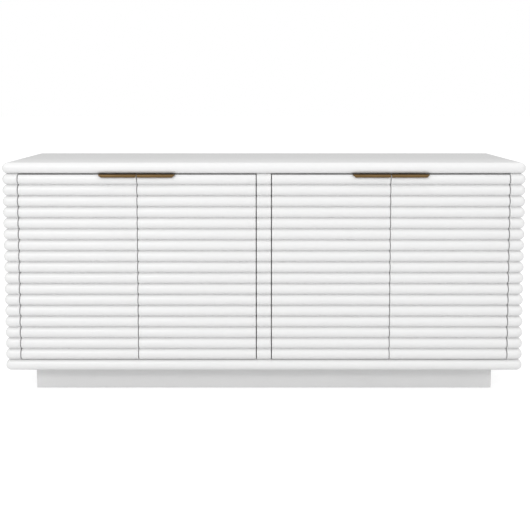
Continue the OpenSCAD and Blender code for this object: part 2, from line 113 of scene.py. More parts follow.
class Graph:
    """Short calls for building a node tree."""

    def __init__(self, tree):
        self.tree = tree

    def put(self, socket, value):
        """Feed a socket from another node's output, or set it to a plain value."""
        if isinstance(value, bpy.types.NodeSocket):
            self.tree.links.new(value, socket)
        else:
            socket.default_value = value

    def add(self, kind, inputs=None, **settings):
        """A node with its settings, its inputs given by name or by number."""
        node = self.tree.nodes.new(kind)
        for key, value in settings.items():
            setattr(node, key, value)
        for key, value in (inputs or {}).items():
            self.put(node.inputs[key], value)
        return node

    def math(self, operation, *values, clamp=False):
        node = self.add("ShaderNodeMath", operation=operation, use_clamp=clamp)
        for socket, value in zip(node.inputs, values):
            self.put(socket, value)
        return node.outputs[0]

    def vector(self, operation, a, b=None, scale=None):
        node = self.add("ShaderNodeVectorMath", {0: a}, operation=operation)
        if b is not None:
            self.put(node.inputs[1], b)
        if scale is not None:
            self.put(node.inputs["Scale"], scale)
        return node.outputs["Vector"]


class GeometryGraph(Graph):
    """A geometry node tree: Geometry in, Geometry out, and named inputs for its sizes."""

    def __init__(self, name, sizes):
        tree = bpy.data.node_groups.new(name, "GeometryNodeTree")
        super().__init__(tree)
        face = tree.interface
        face.new_socket("Geometry", in_out="INPUT", socket_type="NodeSocketGeometry")
        face.new_socket("Geometry", in_out="OUTPUT", socket_type="NodeSocketGeometry")
        for size_name, kind in sizes:
            face.new_socket(size_name, in_out="INPUT", socket_type=kind)
        face.new_socket("Material", in_out="INPUT", socket_type="NodeSocketMaterial")
        self.given = self.add("NodeGroupInput").outputs

    def named(self, name, kind="FLOAT"):
        """The value of a named attribute."""
        node = self.add("GeometryNodeInputNamedAttribute", {"Name": name}, data_type=kind)
        return node.outputs["Attribute"]

    def store(self, geometry, name, value, kind="FLOAT"):
        """Keep a value on the points as a named attribute."""
        node = self.add("GeometryNodeStoreNamedAttribute",
                        {"Geometry": geometry, "Name": name, "Value": value},
                        data_type=kind, domain="POINT")
        return node.outputs["Geometry"]

    def end(self, geometry):
        """Close the tree: real meshes, with their material."""
        real = self.add("GeometryNodeRealizeInstances", {"Geometry": geometry})
        made = self.add("GeometryNodeSetMaterial",
                        {"Geometry": real.outputs[0], "Material": self.given["Material"]})
        self.add("NodeGroupOutput", {"Geometry": made.outputs[0]})
        return self.tree


def ribbed_board_tree():
    """Sweeps a stack of ribs along a line of plan points.

    Each plan point carries "outward", the way the ribs face there, "inset", how far the
    surface steps back there to round the ends of the ribs, and "behind", the plan point on
    the back of the board.
    """
    g = GeometryGraph("ribbed_board", [
        ("Ribs", "NodeSocketInt"), ("Segments", "NodeSocketInt"),
        ("Pitch", "NodeSocketFloat"), ("Depth", "NodeSocketFloat"),
        ("Land", "NodeSocketFloat"), ("Base", "NodeSocketFloat"),
        ("Bottom", "NodeSocketFloat"), ("Top", "NodeSocketFloat"),
        ("Softening", "NodeSocketFloat")])
    ribs, segments = g.given["Ribs"], g.given["Segments"]
    soft = g.given["Softening"]
    depth = g.given["Depth"]
    half_chord = g.math("MULTIPLY", g.math("SUBTRACT", g.given["Pitch"], g.given["Land"]), 0.5)
    radius = g.math("DIVIDE", g.math("ADD", g.math("MULTIPLY", half_chord, half_chord),
                                     g.math("MULTIPLY", depth, depth)),
                    g.math("MULTIPLY", depth, 2.0))

    # Two extra points at each end of the section close it round the back of the board
    per_rib = g.math("ADD", segments, 1.0)
    rib_points = g.math("MULTIPLY", ribs, per_rib)
    last = g.math("ADD", rib_points, 3.0)
    index = g.add("GeometryNodeInputIndex").outputs[0]
    on_rib = g.math("MINIMUM", g.math("MAXIMUM", g.math("SUBTRACT", index, 2.0), 0.0),
                    g.math("SUBTRACT", rib_points, 1.0))
    rib = g.math("FLOOR", g.math("DIVIDE", g.math("ADD", on_rib, 0.5), per_rib))
    share = g.math("DIVIDE", g.math("SUBTRACT", on_rib, g.math("MULTIPLY", rib, per_rib)),
                   segments)
    centre = g.math("ADD", g.given["Base"],
                    g.math("MULTIPLY", g.math("ADD", rib, 0.5), g.given["Pitch"]))
    low = g.math("MAXIMUM", g.math("MULTIPLY", half_chord, -1.0),
                 g.math("SUBTRACT", g.math("ADD", g.given["Bottom"], soft), centre))
    high = g.math("MINIMUM", half_chord,
                  g.math("SUBTRACT", g.math("SUBTRACT", g.given["Top"], soft), centre))
    start = g.math("ARCSINE", g.math("DIVIDE", low, radius))
    sweep = g.math("SUBTRACT", g.math("ARCSINE", g.math("DIVIDE", high, radius)), start)
    angle = g.math("ADD", start, g.math("MULTIPLY", sweep, share))
    up = g.math("ADD", centre, g.math("MULTIPLY", radius, g.math("SINE", angle)))
    out = g.math("ADD", g.math("MULTIPLY", radius, g.math("COSINE", angle)),
                 g.math("SUBTRACT", depth, radius))

    at_bottom = g.math("LESS_THAN", index, 1.5)
    at_top = g.math("GREATER_THAN", index, g.math("SUBTRACT", last, 1.5))
    at_back = g.math("ADD", g.math("LESS_THAN", index, 0.5),
                     g.math("GREATER_THAN", index, g.math("SUBTRACT", last, 0.5)))
    at_end = g.math("ADD", at_bottom, at_top)

    def mix(mask, one, other):
        """One value where the mask is 0 and the other where it is 1."""
        return g.math("ADD", one, g.math("MULTIPLY", mask, g.math("SUBTRACT", other, one)))

    up = mix(at_top, mix(at_bottom, up, g.given["Bottom"]), g.given["Top"])
    out = g.math("SUBTRACT", out, g.math("MULTIPLY", at_end, soft))
    face = g.math("SUBTRACT", 1.0, at_back)

    section = g.add("GeometryNodeMeshLine", {"Count": g.math("ADD", last, 1.0)}).outputs[0]
    for name, value in (("rib_up", up), ("rib_out", out), ("rib_face", face)):
        section = g.store(section, name, value)
    section = g.add("GeometryNodeMeshToCurve", {"Mesh": section}).outputs[0]
    section = g.add("GeometryNodeSetSplineCyclic",
                    {"Geometry": section, "Cyclic": True}).outputs[0]

    place = g.add("GeometryNodeInputPosition").outputs[0]
    plan = g.store(g.given["Geometry"], "plan", place, "FLOAT_VECTOR")
    plan = g.add("GeometryNodeMeshToCurve", {"Mesh": plan}).outputs[0]
    board = g.add("GeometryNodeCurveToMesh",
                  {"Curve": plan, "Profile Curve": section, "Fill Caps": True}).outputs[0]

    stand = g.math("SUBTRACT", g.named("rib_out"),
                   g.math("MULTIPLY", g.named("inset"), g.named("rib_face")))
    outward = g.vector("SCALE", g.named("outward", "FLOAT_VECTOR"), scale=stand)
    rise = g.add("ShaderNodeCombineXYZ", {"Z": g.named("rib_up")}).outputs[0]
    front = g.vector("ADD", g.named("plan", "FLOAT_VECTOR"), outward)
    foot = g.add("GeometryNodeSwitch", {"Switch": g.named("rib_face"),
                                        "False": g.named("behind", "FLOAT_VECTOR"),
                                        "True": front}, input_type="VECTOR").outputs[0]
    placed = g.vector("ADD", foot, rise)
    board = g.add("GeometryNodeSetPosition", {"Geometry": board, "Position": placed}).outputs[0]
    return g.end(board)


def screws_tree():
    """Stands a pan-head screw with a cross recess on each point, along its "axis"."""
    g = GeometryGraph("screws", [
        ("Head Radius", "NodeSocketFloat"), ("Head Height", "NodeSocketFloat"),
        ("Shank Radius", "NodeSocketFloat"), ("Shank Length", "NodeSocketFloat"),
        ("Recess", "NodeSocketFloat"), ("Seed", "NodeSocketInt")])
    head_r, head_h = g.given["Head Radius"], g.given["Head Height"]
    shank_r, shank_l = g.given["Shank Radius"], g.given["Shank Length"]

    # Rings from the point of the shank to the top of the head
    rings = ((g.math("MULTIPLY", shank_l, -1.0), g.math("MULTIPLY", shank_r, 0.25)),
             (g.math("ADD", g.math("MULTIPLY", shank_l, -1.0), g.math("MULTIPLY", shank_r, 2.0)),
              shank_r),
             (0.0, shank_r), (0.0, g.math("MULTIPLY", head_r, 0.97)),
             (g.math("MULTIPLY", head_h, 0.2), head_r),
             (g.math("MULTIPLY", head_h, 0.55), g.math("MULTIPLY", head_r, 0.93)),
             (g.math("MULTIPLY", head_h, 0.85), g.math("MULTIPLY", head_r, 0.75)),
             (head_h, g.math("MULTIPLY", head_r, 0.45)))
    barrel = g.add("GeometryNodeMeshCylinder",
                   {"Vertices": 20, "Side Segments": len(rings) - 1, "Fill Segments": 1,
                    "Radius": 1.0, "Depth": float(len(rings) - 1)})
    place = g.add("GeometryNodeInputPosition").outputs[0]
    parts = g.add("ShaderNodeSeparateXYZ", {0: place}).outputs
    ring = g.math("ROUND", g.math("ADD", parts["Z"], (len(rings) - 1) / 2))
    height, width = 0.0, 0.0
    for i, (ring_z, ring_r) in enumerate(rings):
        here = g.math("COMPARE", ring, float(i), 0.1)
        height = g.math("ADD", height, g.math("MULTIPLY", here, ring_z))
        width = g.math("ADD", width, g.math("MULTIPLY", here, ring_r))
    turned = g.add("ShaderNodeCombineXYZ", {"X": g.math("MULTIPLY", parts["X"], width),
                                            "Y": g.math("MULTIPLY", parts["Y"], width),
                                            "Z": height}).outputs[0]
    blank = g.add("GeometryNodeSetPosition",
                  {"Geometry": barrel.outputs["Mesh"], "Position": turned}).outputs[0]

    def slot_blade(along, across):
        size = g.add("ShaderNodeCombineXYZ", {"X": along, "Y": across, "Z": head_h}).outputs[0]
        blade = g.add("GeometryNodeMeshCube", {"Size": size}).outputs["Mesh"]
        lift = g.add("ShaderNodeCombineXYZ", {"Z": head_h}).outputs[0]
        return g.add("GeometryNodeTransform", {"Geometry": blade, "Translation": lift}).outputs[0]

    narrow = g.math("MULTIPLY", g.given["Recess"], 0.26)
    cutter = g.add("GeometryNodeMeshBoolean", operation="UNION", solver="EXACT")
    g.put(cutter.inputs[1], slot_blade(g.given["Recess"], narrow))
    g.put(cutter.inputs[1], slot_blade(narrow, g.given["Recess"]))
    cut_head = g.add("GeometryNodeMeshBoolean", {0: blank}, operation="DIFFERENCE",
                     solver="EXACT")
    g.put(cut_head.inputs[1], cutter.outputs["Mesh"])

    axis = g.named("axis", "FLOAT_VECTOR")
    aim = g.add("FunctionNodeAlignRotationToVector", {"Vector": axis}, axis="Z").outputs[0]
    stood = g.add("GeometryNodeInstanceOnPoints",
                  {"Points": g.given["Geometry"], "Instance": cut_head.outputs["Mesh"],
                   "Rotation": aim}).outputs[0]
    turn = g.add("FunctionNodeRandomValue",
                 {"Min": (0.0, 0.0, 0.0), "Max": (0.0, 0.0, math.tau), "Seed": g.given["Seed"]},
                 data_type="FLOAT_VECTOR").outputs[0]
    stood = g.add("GeometryNodeRotateInstances", {"Instances": stood, "Rotation": turn}).outputs[0]
    return g.end(stood)


def bake_tree(name, base_mesh, tree, values):
    """Runs a geometry tree on a mesh and returns the result as a plain mesh object."""
    source = bpy.data.objects.new(name + "_base", base_mesh)
    bpy.context.scene.collection.objects.link(source)
    modifier = source.modifiers.new("tree", "NODES")
    modifier.node_group = tree
    for item in tree.interface.items_tree:
        if item.in_out == "INPUT" and item.name in values:
            modifier[item.identifier] = values[item.name]
    mesh = evaluated_mesh(source)
    source.modifiers.clear()
    bpy.data.objects.remove(source)
    bpy.data.meshes.remove(base_mesh)
    for attribute in ("plan", "outward", "inset", "behind", "rib_up", "rib_out", "rib_face",
                      "axis"):
        if attribute in mesh.attributes:
            mesh.attributes.remove(mesh.attributes[attribute])
    return new_object(name, mesh)


# ---------------------------------------------------------------------------
# Mesh helpers
# ---------------------------------------------------------------------------

def new_object(name, mesh):
    """A scene object at the origin that holds a mesh."""
    mesh.name = name
    obj = bpy.data.objects.new(name, mesh)
    bpy.context.scene.collection.objects.link(obj)
    return obj


def mesh_from(build):
    """A mesh made by a function that fills a bmesh."""
    work = bmesh.new()
    build(work)
    mesh = bpy.data.meshes.new("piece")
    work.to_mesh(mesh)
    work.free()
    return mesh


def tidy_mesh(mesh, merge=1e-6):
    """Merges doubles and turns every face outwards."""
    work = bmesh.new()
    work.from_mesh(mesh)
    bmesh.ops.remove_doubles(work, verts=work.verts, dist=merge)
    bmesh.ops.recalc_face_normals(work, faces=work.faces)
    work.to_mesh(mesh)
    work.free()


def smooth(mesh, sharp_angle=35.0):
    """Smooth shading that keeps edges sharper than the angle, in degrees."""
    mesh.shade_smooth()
    mesh.set_sharp_from_angle(angle=math.radians(sharp_angle))


def evaluated_mesh(obj):
    """A plain mesh of an object as its modifiers leave it."""
    bpy.context.view_layer.update()
    evaluated = obj.evaluated_get(bpy.context.evaluated_depsgraph_get())
    return bpy.data.meshes.new_from_object(evaluated)


def apply_modifiers(obj):
    """Bakes an object's modifiers into its mesh."""
    mesh = evaluated_mesh(obj)
    old = obj.data
    obj.modifiers.clear()
    obj.data = mesh
    mesh.name = obj.name
    bpy.data.meshes.remove(old)


def ease_edges(obj, width, segments=3, angle=50.0):
    """Rounds the sharp edges of a finished mesh."""
    bevel = obj.modifiers.new("ease", "BEVEL")
    bevel.width = width
    bevel.segments = segments
    bevel.limit_method = "ANGLE"
    bevel.angle_limit = math.radians(angle)
    bevel.harden_normals = False
    apply_modifiers(obj)


def finish_piece(obj, body, slot, material, *nodes):
    """Gives a piece its material and its place in the assembly."""
    obj.data.materials.clear()
    obj.data.materials.append(material)
    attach(obj, body)
    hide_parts(*nodes)


def add_box(work, low, high):
    """A closed box in a bmesh."""
    size = Vector(high) - Vector(low)
    middle = (Vector(high) + Vector(low)) / 2
    shape = Matrix.Translation(middle) @ Matrix.Diagonal((*size, 1.0))
    bmesh.ops.create_cube(work, size=1.0, matrix=shape)


def add_lathe(work, outline, centre, axis="Y", steps=48):
    """A closed ring or disc turned from (radius, height) points about an axis."""
    turn = {"Y": Matrix.Rotation(-math.pi / 2, 4, "X"), "Z": Matrix.Identity(4)}[axis]
    place = Matrix.Translation(centre) @ turn
    rows = []
    for i in range(steps):
        a = math.tau * i / steps
        rows.append([work.verts.new(place @ Vector((r * math.cos(a), r * math.sin(a), h)))
                     for r, h in outline])
    count = len(outline)
    for i, row in enumerate(rows):
        after = rows[(i + 1) % steps]
        for j in range(count):
            k = (j + 1) % count
            work.faces.new((row[j], after[j], after[k], row[k]))


def arc(centre, radius, start, end, steps):
    """Points on an arc in a plane, with its angles in degrees."""
    points = []
    for i in range(steps + 1):
        a = math.radians(start + (end - start) * i / steps)
        points.append((centre[0] + radius * math.cos(a), centre[1] + radius * math.sin(a)))
    return points


# ---------------------------------------------------------------------------
# Finishes
# ---------------------------------------------------------------------------

class ShaderGroup(Graph):
    """A shader node group with named inputs and outputs."""

    def __init__(self, name, inputs, outputs):
        tree = bpy.data.node_groups.new(name, "ShaderNodeTree")
        super().__init__(tree)
        for socket_name, kind, default in inputs:
            socket = tree.interface.new_socket(socket_name, in_out="INPUT", socket_type=kind)
            socket.default_value = default
        for socket_name, kind in outputs:
            tree.interface.new_socket(socket_name, in_out="OUTPUT", socket_type=kind)
        self.given = self.add("NodeGroupInput").outputs
        self.out = self.add("NodeGroupOutput")

    def noise(self, vector, scale, detail=2.0):
        node = self.add("ShaderNodeTexNoise",
                        {"Vector": vector, "Scale": scale, "Detail": detail})
        return node.outputs[0]


FLOAT, COLOR, VECTOR = "NodeSocketFloat", "NodeSocketColor", "NodeSocketVector"


def relief_group():
    """Height of a coat or a moulded skin: a slow wave and a fine grain."""
    g = ShaderGroup("surface_relief",
                    [("Wave Scale", FLOAT, 40.0), ("Grain Scale", FLOAT, 900.0),
                     ("Grain Share", FLOAT, 0.3)], [("Height", FLOAT)])
    place = g.add("ShaderNodeTexCoord").outputs["Object"]
    wave = g.noise(place, g.given["Wave Scale"])
    grain = g.noise(place, g.given["Grain Scale"])
    share = g.given["Grain Share"]
    height = g.math("ADD", g.math("MULTIPLY", wave, g.math("SUBTRACT", 1.0, share)),
                    g.math("MULTIPLY", grain, share))
    g.put(g.out.inputs["Height"], height)
    return g.tree


def tone_group():
    """Slow and fine drift of a colour, and of the roughness with it."""
    g = ShaderGroup("tone_drift",
                    [("Colour", COLOR, (0.8, 0.8, 0.8, 1.0)), ("Scale", FLOAT, 3.0),
                     ("Speckle Scale", FLOAT, 200.0), ("Drift", FLOAT, 0.04),
                     ("Roughness", FLOAT, 0.4), ("Roughness Drift", FLOAT, 0.1)],
                    [("Colour", COLOR), ("Roughness", FLOAT)])
    place = g.add("ShaderNodeTexCoord").outputs["Object"]
    slow = g.noise(place, g.given["Scale"], 3.0)
    fine = g.noise(place, g.given["Speckle Scale"], 1.0)
    blend = g.math("ADD", g.math("MULTIPLY", slow, 0.7), g.math("MULTIPLY", fine, 0.3))
    centred = g.math("SUBTRACT", blend, 0.5)
    factor = g.math("ADD", 1.0, g.math("MULTIPLY", centred, g.given["Drift"]))
    tinted = g.vector("SCALE", g.given["Colour"], scale=factor)
    rough = g.math("ADD", g.given["Roughness"],
                   g.math("MULTIPLY", centred, g.given["Roughness Drift"]), clamp=True)
    g.put(g.out.inputs["Colour"], tinted)
    g.put(g.out.inputs["Roughness"], rough)
    return g.tree


def dust_group():
    """Thin dust on what faces up: a little paler or darker, and rougher."""
    g = ShaderGroup("settled_dust",
                    [("Colour", COLOR, (0.8, 0.8, 0.8, 1.0)), ("Roughness", FLOAT, 0.3),
                     ("Dust", COLOR, (0.55, 0.53, 0.5, 1.0)), ("Amount", FLOAT, 0.05)],
                    [("Colour", COLOR), ("Roughness", FLOAT)])
    place = g.add("ShaderNodeTexCoord").outputs["Object"]
    up = g.add("ShaderNodeSeparateXYZ",
               {0: g.add("ShaderNodeNewGeometry").outputs["Normal"]}).outputs["Z"]
    patches = g.noise(place, 11.0, 4.0)
    mask = g.math("MULTIPLY", g.math("MAXIMUM", up, 0.0), patches)
    mask = g.math("MULTIPLY", mask, g.given["Amount"], clamp=True)
    mixed = g.add("ShaderNodeMix", {"Factor": mask}, data_type="RGBA")
    g.put(mixed.inputs["A"], g.given["Colour"])
    g.put(mixed.inputs["B"], g.given["Dust"])
    g.put(g.out.inputs["Colour"], mixed.outputs["Result"])
    g.put(g.out.inputs["Roughness"],
          g.math("ADD", g.given["Roughness"], g.math("MULTIPLY", mask, 0.6), clamp=True))
    return g.tree


def brushed_group():
    """Fine parallel lines along X, as a wheel leaves on metal: height and roughness."""
    g = ShaderGroup("brushed_lines",
                    [("Stretch", VECTOR, (8.0, 1200.0, 1200.0)), ("Roughness", FLOAT, 0.3),
                     ("Roughness Drift", FLOAT, 0.2)], [("Height", FLOAT), ("Roughness", FLOAT)])
    place = g.add("ShaderNodeTexCoord").outputs["Object"]
    lines = g.noise(g.vector("MULTIPLY", place, g.given["Stretch"]), 1.0, 3.0)
    g.put(g.out.inputs["Height"], lines)
    g.put(g.out.inputs["Roughness"],
          g.math("ADD", g.given["Roughness"],
                 g.math("MULTIPLY", g.math("SUBTRACT", lines, 0.5), g.given["Roughness Drift"]),
                 clamp=True))
    return g.tree


def timber_group():
    """Long grain with growth rings, for raw softwood."""
    g = ShaderGroup("timber_grain",
                    [("Stretch", VECTOR, (60.0, 60.0, 4.0)),
                     ("Early Wood", COLOR, (0.6, 0.4, 0.2, 1.0)),
                     ("Late Wood", COLOR, (0.4, 0.22, 0.1, 1.0))],
                    [("Colour", COLOR), ("Height", FLOAT)])
    place = g.add("ShaderNodeTexCoord").outputs["Object"]
    stretched = g.vector("MULTIPLY", place, g.given["Stretch"])
    bend = g.noise(stretched, 0.6, 2.0)
    rings = g.math("SINE", g.math("MULTIPLY", bend, 40.0))
    fibre = g.noise(stretched, 9.0, 3.0)
    mask = g.math("ADD", g.math("MULTIPLY", rings, 0.3), g.math("MULTIPLY", fibre, 0.8),
                  clamp=True)
    mixed = g.add("ShaderNodeMix", {"Factor": mask}, data_type="RGBA")
    g.put(mixed.inputs["A"], g.given["Early Wood"])
    g.put(mixed.inputs["B"], g.given["Late Wood"])
    g.put(g.out.inputs["Colour"], mixed.outputs["Result"])
    g.put(g.out.inputs["Height"], fibre)
    return g.tree


# Relief: wave and grain are noise scales, share is how much of it is grain, strength and distance
# are the bump's. Drifts are how far the roughness and the colour wander. Capitals are sockets.
COATED = {
    "white_lacquer": dict(colour="lacquer", wave=30.0, grain=420.0, share=0.35, strength=0.12,
                          distance=0.0003, rough=0.3, rough_drift=0.08, drift=0.02, dust=0.06,
                          Coat_Weight=0.5, Coat_Roughness=0.12),
    "interior_board": dict(colour="board", wave=300.0, grain=1600.0, share=0.8, strength=0.35,
                           distance=0.0002, rough=0.5, rough_drift=0.1, drift=0.03, dust=0.08),
    "back_board": dict(colour="hardboard", wave=90.0, grain=700.0, share=0.6, strength=0.5,
                       distance=0.0003, rough=0.7, rough_drift=0.12, drift=0.06, dust=0.02),
    "white_plastic": dict(colour="white_plastic", wave=500.0, grain=2500.0, share=0.8,
                          strength=0.3, distance=0.0001, rough=0.42, rough_drift=0.1,
                          drift=0.02, dust=0.03),
    "dark_plastic": dict(colour="dark_plastic", wave=500.0, grain=2500.0, share=0.8,
                         strength=0.4, distance=0.0001, rough=0.48, rough_drift=0.12,
                         drift=0.25, dust=0.12),
    "magnet": dict(colour="magnet", wave=400.0, grain=1800.0, share=0.7, strength=0.5,
                   distance=0.0001, rough=0.55, rough_drift=0.2, drift=0.5, dust=0.05,
                   Metallic=0.3),
}
METALS = {
    "brass": dict(colour="brass", stretch=(9.0, 1400.0, 1400.0), rough=0.34, rough_drift=0.22,
                  drift=0.5, strength=0.3),
    "zinc_steel": dict(colour="nickel", stretch=(300.0, 300.0, 40.0), rough=0.3,
                       rough_drift=0.2, drift=0.2, strength=0.15),
}
TIMBERS = {"raw_timber": dict(colour="timber")}


class Finishes:
    """The cabinet's materials, each made once when it is first asked for."""

    def __init__(self):
        self.made = {}
        self.groups = {}

    def group(self, build):
        if build not in self.groups:
            self.groups[build] = build()
        return self.groups[build]

    def start(self, name, **fixed):
        """A material with its shader; values that are the same all over go on its sockets."""
        material = bpy.data.materials.new(name)
        material.use_nodes = True
        material.node_tree.nodes.clear()
        g = Graph(material.node_tree)
        shader = g.add("ShaderNodeBsdfPrincipled",
                       {key.replace("_", " "): value for key, value in fixed.items()})
        g.add("ShaderNodeOutputMaterial", {"Surface": shader.outputs[0]})
        return material, g, shader

    def use(self, g, build, values):
        """Places a shared group in a material with its own values."""
        node = g.add("ShaderNodeGroup", node_tree=self.group(build))
        for key, value in values.items():
            g.put(node.inputs[key], value)
        return node.outputs

    def bump(self, g, shader, height, strength, distance):
        node = g.add("ShaderNodeBump",
                     {"Height": height, "Strength": strength, "Distance": distance})
        g.put(shader.inputs["Normal"], node.outputs[0])

    def coated(self, name, base, wave, grain, share, strength, distance, rough, rough_drift,
               drift, dust, **fixed):
        """A painted, faced or moulded surface."""
        material, g, shader = self.start(name, **fixed)
        tone = self.use(g, tone_group, {"Colour": base, "Drift": drift, "Roughness": rough,
                                        "Roughness Drift": rough_drift})
        settled = self.use(g, dust_group, {"Colour": tone["Colour"],
                                           "Roughness": tone["Roughness"], "Amount": dust})
        g.put(shader.inputs["Base Color"], settled["Colour"])
        g.put(shader.inputs["Roughness"], settled["Roughness"])
        relief = self.use(g, relief_group, {"Wave Scale": wave, "Grain Scale": grain,
                                            "Grain Share": share})
        self.bump(g, shader, relief["Height"], strength, distance)
        return material

    def metal(self, name, base, stretch, rough, rough_drift, drift, strength):
        """A bare or plated metal with brushed lines."""
        material, g, shader = self.start(name, Metallic=1.0)
        tone = self.use(g, tone_group, {"Colour": base, "Scale": 25.0, "Drift": drift})
        lines = self.use(g, brushed_group, {"Stretch": stretch, "Roughness": rough,
                                            "Roughness Drift": rough_drift})
        g.put(shader.inputs["Base Color"], tone["Colour"])
        g.put(shader.inputs["Roughness"], lines["Roughness"])
        self.bump(g, shader, lines["Height"], strength, 0.0001)
        return material

    def timber(self, name, base):
        """Raw wood, its late growth darker than the early."""
        material, g, shader = self.start(name, Roughness=0.75)
        late = (*(c * 0.62 for c in base[:3]), 1.0)
        grain = self.use(g, timber_group, {"Early Wood": base, "Late Wood": late})
        g.put(shader.inputs["Base Color"], grain["Colour"])
        self.bump(g, shader, grain["Height"], 0.4, 0.0004)
        return material

    def get(self, slot):
        """The material of a slot of the record."""
        if slot not in self.made:
            self.made[slot] = self.make(slot, bpy.context.scene.cabinet_colours)
        return self.made[slot]

    def make(self, slot, colours):
        for table, maker in ((COATED, self.coated), (METALS, self.metal), (TIMBERS, self.timber)):
            if slot in table:
                values = dict(table[slot])
                return maker(slot, getattr(colours, values.pop("colour")), **values)
        raise ValueError(f"the record has no finish called {slot}")


FINISHES = Finishes()
SLOTS = {row["node"]: row["material_slot"] for row in frame["record"]["subparts"]}


def finish_node(node):
    """Gives a CAD node that stays in view its finish."""
    materials = NODES[node].data.materials
    materials.clear()
    materials.append(FINISHES.get(SLOTS[node]))


# ---------------------------------------------------------------------------
# Places, taken from the frame
# ---------------------------------------------------------------------------

def corners(node):
    """Lowest and highest corners of a node, to a tenth of a millimetre."""
    low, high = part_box(node)
    return (Vector([round(c, 4) for c in low]), Vector([round(c, 4) for c in high]))


TOP_LOW = corners("top_panel")[0]
BOTTOM_LOW, BOTTOM_HIGH = corners("bottom_panel")
RIB_BASE = BOTTOM_HIGH.z
RIB_TOP = TOP_LOW.z
FRONT = TOP_LOW.y
INSIDE = corners("gable_left")[0].y
DOOR_LOW, DOOR_HIGH = corners("door_1")
PULL_LOW, PULL_HIGH = corners("pull_1")
WALLS = {1: corners("gable_left")[1].x, 2: corners("partition_left")[0].x,
         3: corners("partition_right")[1].x, 4: corners("gable_right")[0].x}
WALL_CENTRES = [sum(c.x for c in corners(node)) / 2
                for node in ("gable_left", "partition_left", "partition_right", "gable_right")]
GAP = DOOR_LOW.x - WALLS[1]
DOOR_END = DOOR_HIGH.x - WALLS[1]

# Fittings, in metres: where their centres are, and the sizes that more than one piece needs
HINGE_END = 0.0955
HINGE_HEIGHTS = (DOOR_LOW.z + HINGE_END, DOOR_HIGH.z - HINGE_END)
CUP_X = GAP + 0.0225
CUP_R = 0.0174
CUP_DEPTH = 0.0115
CUP_FLANGE = 0.001
CUP_SCREW_RISE = 0.024
PLATE_T = 0.004
PLATE_SCREW_Y = -0.133
PLATE_SCREW_RISE = 0.016
BRACKET_YS = (-0.110, 0.128)
LONG_SCREW_YS = (-0.090, 0.108)
FOOT_XS = (0.034, 0.681)
FOOT_YS = (-0.081, 0.127)
FOOT_SCREW_SHIFT = 0.012
FOOT_SCREW_DEPTH = 0.040
BRACKET_T = 0.002
BRACKET_SCREW = 0.015
PULL_SCREW_SHARES = (0.2, 0.8)
PULL_SCREW_RISE = 0.0045
STRIKE_SCREW_DROP = 0.004
BACK_SCREWS = 5
BACK_SCREW_END = 0.040

SMALL_SCREW = {"Head Radius": 0.0035, "Head Height": 0.0018, "Shank Radius": 0.00175,
               "Shank Length": 0.013, "Recess": 0.0042}
LONG_SCREW = {"Head Radius": 0.005, "Head Height": 0.003, "Shank Radius": 0.0025,
              "Shank Length": 0.060, "Recess": 0.006}


def leaf(number):
    """The body of a door."""
    return f"door_{number}_leaf"


def door_place(number):
    """Carries a door's own frame, with x = 0 at the wall beside its hinges, to its place."""
    facing = 1.0 if number % 2 else -1.0
    return Matrix.Translation((WALLS[number], 0.0, 0.0)) @ Matrix.Diagonal((facing, 1, 1, 1))


def to_door(mesh, number):
    """Moves a mesh made in a door's own frame to that door."""
    mesh.transform(door_place(number))
    if number % 2 == 0:
        mesh.flip_normals()


# ---------------------------------------------------------------------------
# Shapes
# ---------------------------------------------------------------------------

EASE_STEPS = 5
CORNER_STEPS = 10
RIB_SEGMENTS = 16


def run(start, end, outward, depth, ease_start=0.0, ease_end=0.0):
    """Stations of a straight run of ribs: (point, outward, inset, point behind)."""
    start, end, outward = Vector(start), Vector(end), Vector(outward)
    along = (end - start).normalized()
    turns = [math.pi / 2 * i / EASE_STEPS for i in range(EASE_STEPS + 1)]
    places = [(start + along * ease_start * (1 - math.cos(a)), ease_start * (1 - math.sin(a)))
              for a in (turns if ease_start else [math.pi / 2])]
    places += [(end - along * ease_end * (1 - math.cos(a)), ease_end * (1 - math.sin(a)))
               for a in (reversed(turns) if ease_end else [math.pi / 2])]
    return [(point, outward, inset, point - outward * depth) for point, inset in places]


def station_mesh(stations, side=-1):
    """A line of plan points with what the ribbed_board tree reads on each."""
    mesh = bpy.data.meshes.new("stations")
    mirror = Vector((-side, 1.0))
    flat = [tuple((value * mirror).to_3d() if isinstance(value, Vector) else value
                  for value in station) for station in stations]
    mesh.from_pydata([s[0] for s in flat], [(i, i + 1) for i in range(len(flat) - 1)], [])
    for kind, name in (("FLOAT_VECTOR", "outward"), ("FLOAT", "inset"), ("FLOAT_VECTOR", "behind")):
        mesh.attributes.new(name, kind, "POINT")
    for i, (_, way, step, back) in enumerate(flat):
        mesh.attributes["outward"].data[i].vector = way
        mesh.attributes["inset"].data[i].value = step
        mesh.attributes["behind"].data[i].vector = back
    return mesh


def ribbed_board(name, base, bottom, top, softening=0.0):
    """A ribbed board along its stations, from one height to another."""
    sizes = bpy.context.scene.cabinet_sizes
    tree = bpy.data.node_groups.get("ribbed_board") or ribbed_board_tree()
    obj = bake_tree(name, base, tree,
                    {"Ribs": sizes.rib_count, "Segments": RIB_SEGMENTS,
                     "Pitch": (RIB_TOP - RIB_BASE) / sizes.rib_count,
                     "Depth": sizes.rib_depth, "Land": sizes.groove_land, "Base": RIB_BASE,
                     "Bottom": bottom, "Top": top, "Softening": softening,
                     "Material": FINISHES.get("white_lacquer")})
    tidy_mesh(obj.data)
    smooth(obj.data)
    return obj


